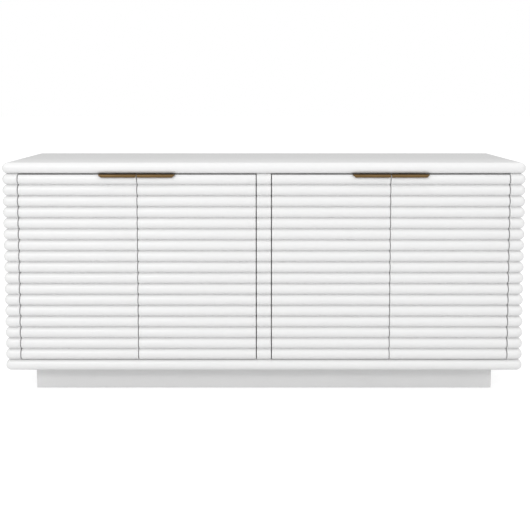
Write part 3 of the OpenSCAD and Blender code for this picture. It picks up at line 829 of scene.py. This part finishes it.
def screw_set(name, points, sizes, seed):
    """Screws on points given as (place, direction of the head)."""
    mesh = bpy.data.meshes.new("places")
    mesh.from_pydata([tuple(place) for place, _ in points], [], [])
    axis = mesh.attributes.new("axis", "FLOAT_VECTOR", "POINT")
    for i, (_, way) in enumerate(points):
        axis.data[i].vector = way
    tree = bpy.data.node_groups.get("screws") or screws_tree()
    obj = bake_tree(name, mesh, tree,
                    {**sizes, "Seed": seed, "Material": FINISHES.get("zinc_steel")})
    smooth(obj.data, 30.0)
    return obj


def slab_mesh(low, high):
    """A panel whose front and end edges are fully rounded and whose rear edge is square."""
    steps = 18
    radius = (high.z - low.z) / 2
    core_x, core_y, middle = high.x - radius, low.y + radius, (low.z + high.z) / 2

    def build(work):
        rows = []
        for i in range(steps + 1):
            a = math.radians(90 - 180 * i / steps)
            out, z = radius * math.cos(a), middle + radius * math.sin(a)
            left = [(-core_x - out, high.y)]
            left += arc((-core_x, core_y), out, 180, 270, CORNER_STEPS)
            plan = left + [(-x, y) for x, y in reversed(left)]
            rows.append([work.verts.new((x, y, z)) for x, y in plan])
        for above, below in zip(rows, rows[1:]):
            for i in range(len(above) - 1):
                work.faces.new((above[i], above[i + 1], below[i + 1], below[i]))
        work.faces.new(rows[0])
        work.faces.new(rows[-1])
        work.faces.new([row[0] for row in rows] + [row[-1] for row in reversed(rows)])

    mesh = mesh_from(build)
    tidy_mesh(mesh)
    return mesh


def extrude(work, outline, start, end, axis):
    """A prism: outline points in the two other axes, from start to end along an axis."""
    def at(point, level):
        values = list(point)
        values.insert("XYZ".index(axis), level)
        return work.verts.new(values)
    near = [at(point, start) for point in outline]
    far = [at(point, end) for point in outline]
    count = len(outline)
    for i in range(count):
        k = (i + 1) % count
        work.faces.new((near[i], near[k], far[k], far[i]))
    work.faces.new(near)
    work.faces.new(far)


def rounded_rectangle(low, high, radius, steps=5):
    """Corner points of a rectangle with rounded corners."""
    (x0, y0), (x1, y1) = low, high
    return (arc((x1 - radius, y1 - radius), radius, 0, 90, steps)
            + arc((x0 + radius, y1 - radius), radius, 90, 180, steps)
            + arc((x0 + radius, y0 + radius), radius, 180, 270, steps)
            + arc((x1 - radius, y0 + radius), radius, 270, 360, steps))


def shaped(name, build, ease=0.0, segments=2, sharp=35.0):
    """An object from a bmesh function, tidied, with eased edges and smooth shading."""
    obj = new_object(name, mesh_from(build))
    tidy_mesh(obj.data)
    if ease:
        ease_edges(obj, ease, segments)
    smooth(obj.data, sharp)
    return obj


def cut(obj, build):
    """Takes the shape that a bmesh function makes out of an object."""
    tool = new_object("tool", mesh_from(build))
    tidy_mesh(tool.data)
    modifier = obj.modifiers.new("cut", "BOOLEAN")
    modifier.operation = "DIFFERENCE"
    modifier.solver = "EXACT"
    modifier.object = tool
    apply_modifiers(obj)
    used = tool.data
    bpy.data.objects.remove(tool)
    bpy.data.meshes.remove(used)


def round_bar(work, radius, low, high, centre, axis="Y", steps=48):
    """A closed round bar between two heights about an axis."""
    add_lathe(work, [(0.0, low), (radius, low), (radius, high), (0.0, high)], centre, axis, steps)


def add_placed(work, part, place):
    """Adds a small bmesh to a larger one at a place, and frees it."""
    part.transform(place)
    mesh = bpy.data.meshes.new("part")
    part.to_mesh(mesh)
    part.free()
    work.from_mesh(mesh)
    bpy.data.meshes.remove(mesh)


def eased_boards(name, nodes, ease):
    """Square-edged boards as one piece, each with its own softened arrises."""
    def build(work):
        for node in nodes:
            board = bmesh.new()
            add_box(board, *corners(node))
            bmesh.ops.bevel(board, geom=board.edges[:], offset=ease, segments=3, profile=0.5,
                            affect="EDGES")
            add_placed(work, board, Matrix.Identity(4))
    return shaped(name, build)


# ---------------------------------------------------------------------------
# Operators
# ---------------------------------------------------------------------------

class Maker(bpy.types.Operator):
    """Base of the operators that make the cabinet's pieces."""

    bl_idname = "cabinet.maker"
    bl_label = "Make pieces"

    def execute(self, context):
        self.make(context.scene.cabinet_sizes)
        return {"FINISHED"}

    def make(self, sizes):
        raise NotImplementedError


def lay_floor():
    """A floor that looks evenly pale and returns a natural share of light to the pieces."""
    floor = new_object("floor", mesh_from(
        lambda work: bmesh.ops.create_grid(work, x_segments=1, y_segments=1, size=30.0)))
    material, g, shader = FINISHES.start("pale_floor", Roughness=0.9, Emission_Strength=1.0)
    seen = g.add("ShaderNodeLightPath").outputs["Is Camera Ray"]

    def level(for_light, for_view):
        return g.math("ADD", for_light, g.math("MULTIPLY", seen, for_view - for_light))

    tone = FINISHES.use(g, tone_group, {"Colour": level(0.75, 0.20), "Drift": 0.01})
    g.put(shader.inputs["Base Color"], tone["Colour"])
    g.put(shader.inputs["Emission Color"], level(0.08, 0.83))
    floor.data.materials.append(material)


def light_room():
    """Even light from all round, stronger from above and from the front; seen as white."""
    world = bpy.data.worlds.new("soft_room")
    bpy.context.scene.world = world
    world.use_nodes = True
    world.node_tree.nodes.clear()
    g = Graph(world.node_tree)
    way = g.add("ShaderNodeSeparateXYZ",
                {0: g.add("ShaderNodeTexCoord").outputs["Generated"]}).outputs
    horizon, towards_back, towards_zenith = 0.70, -0.17, 0.62
    level = g.math("ADD", horizon, g.math("MULTIPLY", way["Y"], towards_back))
    level = g.math("ADD", level, g.math("MULTIPLY", way["Z"], towards_zenith))
    seen = g.add("ShaderNodeBackground", {"Color": (1, 1, 1, 1), "Strength": 1.0})
    lit = g.add("ShaderNodeBackground", {"Color": (1, 1, 1, 1), "Strength": level})
    mixed = g.add("ShaderNodeMixShader", {0: g.add("ShaderNodeLightPath").outputs["Is Camera Ray"],
                                          1: lit.outputs[0], 2: seen.outputs[0]})
    g.add("ShaderNodeOutputWorld", {"Surface": mixed.outputs[0]})


# Name, place, aim, width and height in metres, watts, and whether gloss reflects it
LAMPS = (("key", (-1.7, -2.7, 2.3), (-0.3, -0.2, 0.4), (1.8, 1.2), 12.0, True),
         ("fill", (1.4, -3.0, 2.4), (0.0, -0.2, 0.4), (1.8, 1.0), 4.0, True),
         ("front", (-0.2, -3.6, 2.3), (0.0, -0.2, 0.2), (2.4, 0.6), 30.0, False))


def hang_lamps():
    """Large soft lamps before the cabinet."""
    for name, place, aim, size, power, glossy in LAMPS:
        light = bpy.data.lights.new(name, "AREA")
        light.shape = "RECTANGLE"
        light.size, light.size_y = size
        light.energy = power
        lamp = bpy.data.objects.new(name, light)
        lamp.location = place
        lamp.rotation_euler = (Vector(aim) - Vector(place)).to_track_quat("-Z", "Y").to_euler()
        lamp.visible_glossy = glossy
        bpy.context.scene.collection.objects.link(lamp)


def set_camera():
    """The camera stands before the cabinet, above its top, and looks down a little."""
    scene = bpy.context.scene
    lens = bpy.data.cameras.new("camera")
    lens.sensor_width = 36.0
    lens.lens = 53.87
    lens.shift_y = -0.2197
    lens.clip_end = 100.0
    camera = bpy.data.objects.new("camera", lens)
    camera.location = (0.0035, -2.5978, 0.9352)
    camera.rotation_euler = Euler((math.radians(90 - 3.9), 0, 0))
    scene.collection.objects.link(camera)
    scene.camera = camera
    scene.view_settings.view_transform = "Standard"


class CABINET_OT_stage(Maker):
    """Floor, soft lights and camera"""

    bl_idname = "cabinet.stage"
    bl_label = "Stage"

    def make(self, sizes):
        lay_floor()
        light_room()
        hang_lamps()
        set_camera()


class CABINET_OT_slabs(Maker):
    """Top and bottom panels with their full-round edges"""

    bl_idname = "cabinet.slabs"
    bl_label = "Top and bottom"

    def make(self, sizes):
        for name, node in (("top_slab", "top_panel"), ("bottom_slab", "bottom_panel")):
            obj = new_object(name, slab_mesh(*corners(node)))
            ease_edges(obj, sizes.edge_ease, 3)
            smooth(obj.data, 40.0)
            finish_piece(obj, CARCASS, "white_lacquer", FINISHES.get("white_lacquer"), node)


class CABINET_OT_posts(Maker):
    """Ribbed side panels, end stiles and centre stile"""

    bl_idname = "cabinet.posts"
    bl_label = "Ribbed sides and stiles"

    def make(self, sizes):
        lacquer = FINISHES.get("white_lacquer")
        crest = sizes.rib_depth
        groove_y = FRONT + crest
        depth = INSIDE - groove_y
        low, high = corners("side_panel_left")
        groove_x = low.x + crest
        stile_end = corners("end_stile_left")[1].x
        ease = sizes.end_ease
        corner = 0.005
        bend = Vector((groove_x + corner, groove_y + corner))
        # The corner turns in front of a few points set close together along the back
        back_start, back_step = groove_x + 0.002, 0.0003
        for label, side in SIDES.items():
            panel = run((groove_x, high.y), (groove_x, low.y), (-1, 0), high.x - groove_x, 0.001)
            obj = ribbed_board(f"ribbed_side_{label}", station_mesh(panel, side),
                               RIB_BASE, RIB_TOP)
            finish_piece(obj, CARCASS, "white_lacquer", lacquer, f"side_panel_{label}")

            stations = [(Vector((groove_x, INSIDE)), Vector((-1, 0)), 0.0,
                         Vector((groove_x + 0.001, INSIDE)))]
            for i in range(CORNER_STEPS + 1):
                a = math.pi / 2 * i / CORNER_STEPS
                way = Vector((-math.cos(a), -math.sin(a)))
                stations.append((bend + way * corner, way, 0.0,
                                 Vector((back_start + back_step * i, INSIDE))))
            stations += run((bend.x + 0.006, groove_y), (stile_end, groove_y), (0, -1), depth,
                            0.0, ease)
            obj = ribbed_board(f"end_post_{label}", station_mesh(stations, side),
                               RIB_BASE, RIB_TOP)
            finish_piece(obj, CARCASS, "white_lacquer", lacquer, f"end_stile_{label}")

        low, high = corners("centre_stile")
        stations = run((low.x, groove_y), (high.x, groove_y), (0, -1), depth, ease, ease)
        obj = ribbed_board("middle_post", station_mesh(stations), RIB_BASE, RIB_TOP)
        finish_piece(obj, CARCASS, "white_lacquer", lacquer, "centre_stile")


class CABINET_OT_doors(Maker):
    """Ribbed doors with the recesses for their hinge cups"""

    bl_idname = "cabinet.doors"
    bl_label = "Doors"

    def make(self, sizes):
        groove_y = FRONT + sizes.rib_depth
        seat_r, seat_depth, past_face = CUP_R + 0.0001, CUP_DEPTH + 0.0002, 0.004

        def recesses(work):
            for height in HINGE_HEIGHTS:
                round_bar(work, seat_r, -seat_depth, past_face, (CUP_X, INSIDE, height), "Y", 64)

        for number in DOORS:
            stations = run((GAP, groove_y), (DOOR_END, groove_y), (0, -1), INSIDE - groove_y,
                           sizes.end_ease, sizes.end_ease)
            obj = ribbed_board(f"ribbed_door_{number}", station_mesh(stations),
                               DOOR_LOW.z, DOOR_HIGH.z, sizes.edge_ease)
            cut(obj, recesses)
            to_door(obj.data, number)
            smooth(obj.data)
            finish_piece(obj, leaf(number), "white_lacquer", FINISHES.get("white_lacquer"),
                         f"door_{number}")


class CABINET_OT_pulls(Maker):
    """Folded brass pulls over the top edges of the doors"""

    bl_idname = "cabinet.pulls"
    bl_label = "Brass pulls"

    def make(self, sizes):
        sheet, bend, bevel = sizes.brass_thickness, sizes.pull_bend, sizes.pull_bevel
        lip_y, edge_z, leg_z = PULL_LOW.y, DOOR_HIGH.z, PULL_LOW.z
        lip_z = PULL_HIGH.z - sizes.pull_lip
        centre = (lip_y + sheet + bend, edge_z - bend)
        outline = [(INSIDE, leg_z), (INSIDE, edge_z)]
        outline += arc(centre, bend, 90, 180, 8)
        outline += [(lip_y + sheet, lip_z), (lip_y, lip_z)]
        outline += arc(centre, bend + sheet, 180, 90, 10)
        outline += arc((INSIDE, edge_z), sheet, 90, 0, 4)
        outline += [(INSIDE + sheet, leg_z)]
        start, end = PULL_LOW.x - WALLS[1], PULL_HIGH.x - WALLS[1]

        def bevelled_corner(work):
            extrude(work, [(start - bevel, lip_z - bevel), (start + 2 * bevel, lip_z - bevel),
                           (start - bevel, lip_z + 2 * bevel)],
                    lip_y - sheet, centre[0], "Y")

        for number in DOORS:
            obj = shaped(f"brass_pull_{number}",
                         lambda work: extrude(work, outline, start, end, "X"))
            cut(obj, bevelled_corner)
            tidy_mesh(obj.data, 1e-5)
            ease_edges(obj, 0.0003, 2, 40.0)
            smooth(obj.data, 30.0)
            to_door(obj.data, number)
            finish_piece(obj, leaf(number), "brass", FINISHES.get("brass"), f"pull_{number}")


class CABINET_OT_boards(Maker):
    """Plinth and shelves with softened arrises"""

    bl_idname = "cabinet.boards"
    bl_label = "Plinth and shelves"

    def make(self, sizes):
        plinth = ("plinth_front", "plinth_back", "plinth_left", "plinth_right", "plinth_rail")
        ease = 0.0008
        obj = eased_boards("plinth_frame", plinth, ease)
        finish_piece(obj, CARCASS, "white_lacquer", FINISHES.get("white_lacquer"), *plinth)
        for label in SIDES:
            obj = eased_boards(f"shelf_board_{label}", [f"shelf_{label}"], ease)
            finish_piece(obj, CARCASS, "interior_board", FINISHES.get("interior_board"),
                         f"shelf_{label}")


class CABINET_OT_hinges(Maker):
    """Hinge cups, arms and mounting plates"""

    bl_idname = "cabinet.hinges"
    bl_label = "Hinges"

    def make(self, sizes):
        steel = FINISHES.get("zinc_steel")
        rim, wall, deep, flange = CUP_R, 0.0012, CUP_DEPTH, CUP_FLANGE
        ear_x, ear_r = 0.005, 0.006
        profile = [(0.0, -deep), (rim - 0.0012, -deep), (rim - 0.0003, -deep + 0.0004),
                   (rim, -deep + 0.0014), (rim, flange - 0.0003), (rim - 0.0003, flange),
                   (rim - wall + 0.0003, flange), (rim - wall, flange - 0.0003),
                   (rim - wall, -deep + 0.0028), (rim - wall - 0.0014, -deep + wall),
                   (0.0, -deep + wall)]

        def cups(work):
            for height in HINGE_HEIGHTS:
                add_lathe(work, profile, (CUP_X, INSIDE, height), "Y", 64)
                for up in (1, -1):
                    ear = arc((0, 0), rim - wall / 2, 51, 129, 8)
                    ear += arc((-ear_x, CUP_SCREW_RISE), ear_r, 180, 90, 5)
                    ear += arc((ear_x, CUP_SCREW_RISE), ear_r, 90, 0, 5)
                    extrude(work, [(CUP_X + x, height + up * z) for x, z in ear],
                            INSIDE, INSIDE + flange, "Y")

        for number in DOORS:
            obj = shaped(f"hinge_cup_pair_{number}", cups)
            to_door(obj.data, number)
            finish_piece(obj, leaf(number), "zinc_steel", steel, f"hinge_cups_{number}")

        # Plan of an arm: along the wall from its tail, then across to its nose behind the cup
        nose_y, nose_l, nose_x = INSIDE + 0.0025, 0.0123, CUP_X + 0.0055
        tail_y, arm_x, arm_h = -0.109, PLATE_T + 0.011, 0.014
        nose_round, crook, tail_round = 0.002, 0.004, 0.003
        arm = ([(PLATE_T, nose_y), (nose_x - nose_round, nose_y), (nose_x, nose_y + nose_round),
                (nose_x, nose_y + nose_l - nose_round), (nose_x - nose_round, nose_y + nose_l),
                (arm_x + crook, nose_y + nose_l)]
               + arc((arm_x + crook, nose_y + nose_l + crook), crook, 270, 180, 4)
               + [(arm_x, tail_y - tail_round), (arm_x - tail_round, tail_y),
                  (PLATE_T, tail_y)])
        plate_reach, plate_round = 0.023, 0.005

        def add_arm(part, height):
            extrude(part, arm, height - arm_h / 2, height + arm_h / 2, "Z")

        def add_plate(part, height):
            extrude(part, rounded_rectangle((PLATE_SCREW_Y - plate_reach, height - plate_reach),
                                            (PLATE_SCREW_Y + plate_reach, height + plate_reach),
                                            plate_round), 0.0, PLATE_T, "X")

        for name, add, ease, segments, node in (
                ("hinge_arm_set", add_arm, 0.0011, 3, "hinge_arms"),
                ("hinge_plate_set", add_plate, 0.0008, 2, "hinge_plates")):
            def at_hinges(work):
                for number in DOORS:
                    for height in HINGE_HEIGHTS:
                        part = bmesh.new()
                        add(part, height)
                        add_placed(work, part, door_place(number))

            obj = shaped(name, at_hinges, ease, segments)
            finish_piece(obj, CARCASS, "zinc_steel", steel, node)


class CABINET_OT_screws(Maker):
    """Every screw of the cabinet"""

    bl_idname = "cabinet.screws"
    bl_label = "Screws"

    def make(self, sizes):
        steel = FINISHES.get("zinc_steel")
        back_y = corners("back_panel_left")[1].y
        rear, down = Vector((0, 1, 0)), Vector((0, 0, -1))
        step = (RIB_TOP - RIB_BASE - 2 * BACK_SCREW_END) / (BACK_SCREWS - 1)
        back = [((x, back_y, RIB_BASE + BACK_SCREW_END + i * step), rear)
                for x in WALL_CENTRES for i in range(BACK_SCREWS)]
        carcass = [((x, y, BOTTOM_LOW.z + LONG_SCREW["Head Height"]), down)
                   for x in WALL_CENTRES for y in LONG_SCREW_YS]
        plinth = [((side * (x + FOOT_SCREW_SHIFT), y + FOOT_SCREW_SHIFT,
                    BOTTOM_LOW.z - FOOT_SCREW_DEPTH), down)
                  for side in (-1, 1) for x in FOOT_XS for y in FOOT_YS]
        plates, brackets = [], []
        for number in DOORS:
            place = door_place(number)
            inward = Vector((1.0 if number % 2 else -1.0, 0, 0))
            plates += [(place @ Vector((PLATE_T, PLATE_SCREW_Y, height + rise)), inward)
                       for height in HINGE_HEIGHTS
                       for rise in (-PLATE_SCREW_RISE, PLATE_SCREW_RISE)]
            for y in BRACKET_YS:
                brackets += [(place @ Vector((BRACKET_T, y, RIB_TOP - BRACKET_SCREW)), inward),
                             (place @ Vector((BRACKET_SCREW, y, RIB_TOP - BRACKET_T)), down)]
        for seed, (name, points, kind, node) in enumerate((
                ("back_screw_set", back, SMALL_SCREW, "back_screws"),
                ("long_screw_set", carcass, LONG_SCREW, "carcass_screws"),
                ("plinth_screw_set", plinth, LONG_SCREW, "plinth_screws"),
                ("plate_screw_set", plates, SMALL_SCREW, "hinge_plate_screws"),
                ("bracket_screw_set", brackets, SMALL_SCREW, "bracket_screws"))):
            obj = screw_set(name, points, kind, seed)
            finish_piece(obj, CARCASS, "zinc_steel", steel, node)

        pull_end = PULL_HIGH.x - WALLS[1]
        pull_length = PULL_HIGH.x - PULL_LOW.x
        strike_low, strike_high = corners("strike_plate_1")
        spots = [(CUP_X, INSIDE + CUP_FLANGE, height + rise) for height in HINGE_HEIGHTS
                 for rise in (-CUP_SCREW_RISE, CUP_SCREW_RISE)]
        spots += [(pull_end - share * pull_length, INSIDE + sizes.brass_thickness,
                   PULL_LOW.z + PULL_SCREW_RISE) for share in PULL_SCREW_SHARES]
        spots += [((strike_low.x + strike_high.x) / 2 - WALLS[1], strike_high.y,
                   strike_high.z - STRIKE_SCREW_DROP)]
        for number in DOORS:
            place = door_place(number)
            obj = screw_set(f"door_screw_set_{number}",
                            [(place @ Vector(spot), rear) for spot in spots],
                            SMALL_SCREW, 10 + number)
            finish_piece(obj, leaf(number), "zinc_steel", steel, f"door_screws_{number}")


class CABINET_OT_fittings(Maker):
    """Strike plates, cable grommets and levelling glides"""

    bl_idname = "cabinet.fittings"
    bl_label = "Small fittings"

    def make(self, sizes):
        for number in DOORS:
            low, high = corners(f"strike_plate_{number}")
            obj = shaped(f"strike_tab_{number}", lambda work: extrude(
                work, rounded_rectangle((low.x, low.z), (high.x, high.z), 0.002),
                low.y, high.y, "Y"), 0.0003)
            finish_piece(obj, leaf(number), "zinc_steel", FINISHES.get("zinc_steel"),
                         f"strike_plate_{number}")

        for label in SIDES:
            low, high = corners(f"grommet_{label}")
            middle = ((low.x + high.x) / 2, 0.0, (low.z + high.z) / 2)
            rim, sleeve, bore = (high.x - low.x) / 2, 0.0298, 0.027
            face = corners(f"back_panel_{label}")[1].y
            rim_round, bore_round = 0.0012, 0.0016
            profile = [(bore, low.y), (sleeve, low.y), (sleeve, face), (rim, face),
                       (rim, high.y - rim_round)]
            profile += arc((rim - rim_round, high.y - rim_round), rim_round, 30, 90, 3)
            profile += arc((bore + bore_round, high.y - bore_round), bore_round, 90, 180, 4)
            obj = shaped(f"cable_ring_{label}",
                         lambda work: add_lathe(work, profile, middle, "Y", 96))
            finish_piece(obj, CARCASS, "dark_plastic", FINISHES.get("dark_plastic"),
                         f"grommet_{label}")

        profile = [(0.0, 0.0), (0.0128, 0.0), (0.0142, 0.0005), (0.0149, 0.0018), (0.015, 0.0032),
                   (0.015, 0.0068), (0.0147, 0.0076), (0.0138, 0.008), (0.004, 0.008),
                   (0.004, 0.033), (0.0, 0.033)]

        def feet(work):
            for side in (-1, 1):
                for x in FOOT_XS:
                    for y in FOOT_YS:
                        add_lathe(work, profile, (side * x, y, 0.0), "Z", 48)

        obj = shaped("glide_feet", feet)
        finish_piece(obj, CARCASS, "dark_plastic", FINISHES.get("dark_plastic"),
                     "levelling_glides")


class CABINET_OT_finishes(Maker):
    """Finishes of the CAD nodes that stay in view"""

    bl_idname = "cabinet.finishes"
    bl_label = "Finishes"

    def make(self, sizes):
        for node in ("gable_left", "gable_right", "partition_left", "partition_right",
                     "back_panel_left", "back_panel_right", "shelf_pins", "plinth_blocks",
                     "catch_left", "catch_right", "catch_magnets", "dowels", "top_brackets"):
            finish_node(node)


MAKERS = (CABINET_OT_stage, CABINET_OT_slabs, CABINET_OT_posts, CABINET_OT_doors,
          CABINET_OT_pulls, CABINET_OT_boards, CABINET_OT_hinges, CABINET_OT_screws,
          CABINET_OT_fittings, CABINET_OT_finishes)


class CABINET_PT_sidebar(bpy.types.Panel):
    """Sizes, colours and makers of the cabinet"""

    bl_idname = "CABINET_PT_sidebar"
    bl_label = "Reeded cabinet"
    bl_space_type = "VIEW_3D"
    bl_region_type = "UI"
    bl_category = "Cabinet"

    def draw(self, context):
        layout = self.layout
        for group in (context.scene.cabinet_sizes, context.scene.cabinet_colours):
            for name in group.__annotations__:
                layout.prop(group, name)
        for maker in MAKERS:
            layout.operator(maker.bl_idname)


CLASSES = (CabinetSizes, CabinetColours, *MAKERS, CABINET_PT_sidebar)


def register():
    for cls in CLASSES:
        bpy.utils.register_class(cls)
    bpy.types.Scene.cabinet_sizes = PointerProperty(type=CabinetSizes)
    bpy.types.Scene.cabinet_colours = PointerProperty(type=CabinetColours)


def unregister():
    del bpy.types.Scene.cabinet_colours
    del bpy.types.Scene.cabinet_sizes
    for cls in reversed(CLASSES):
        bpy.utils.unregister_class(cls)


def main():
    register()
    for maker in MAKERS:
        area, name = maker.bl_idname.split(".")
        getattr(getattr(bpy.ops, area), name)()


if __name__ == "__main__":
    main()
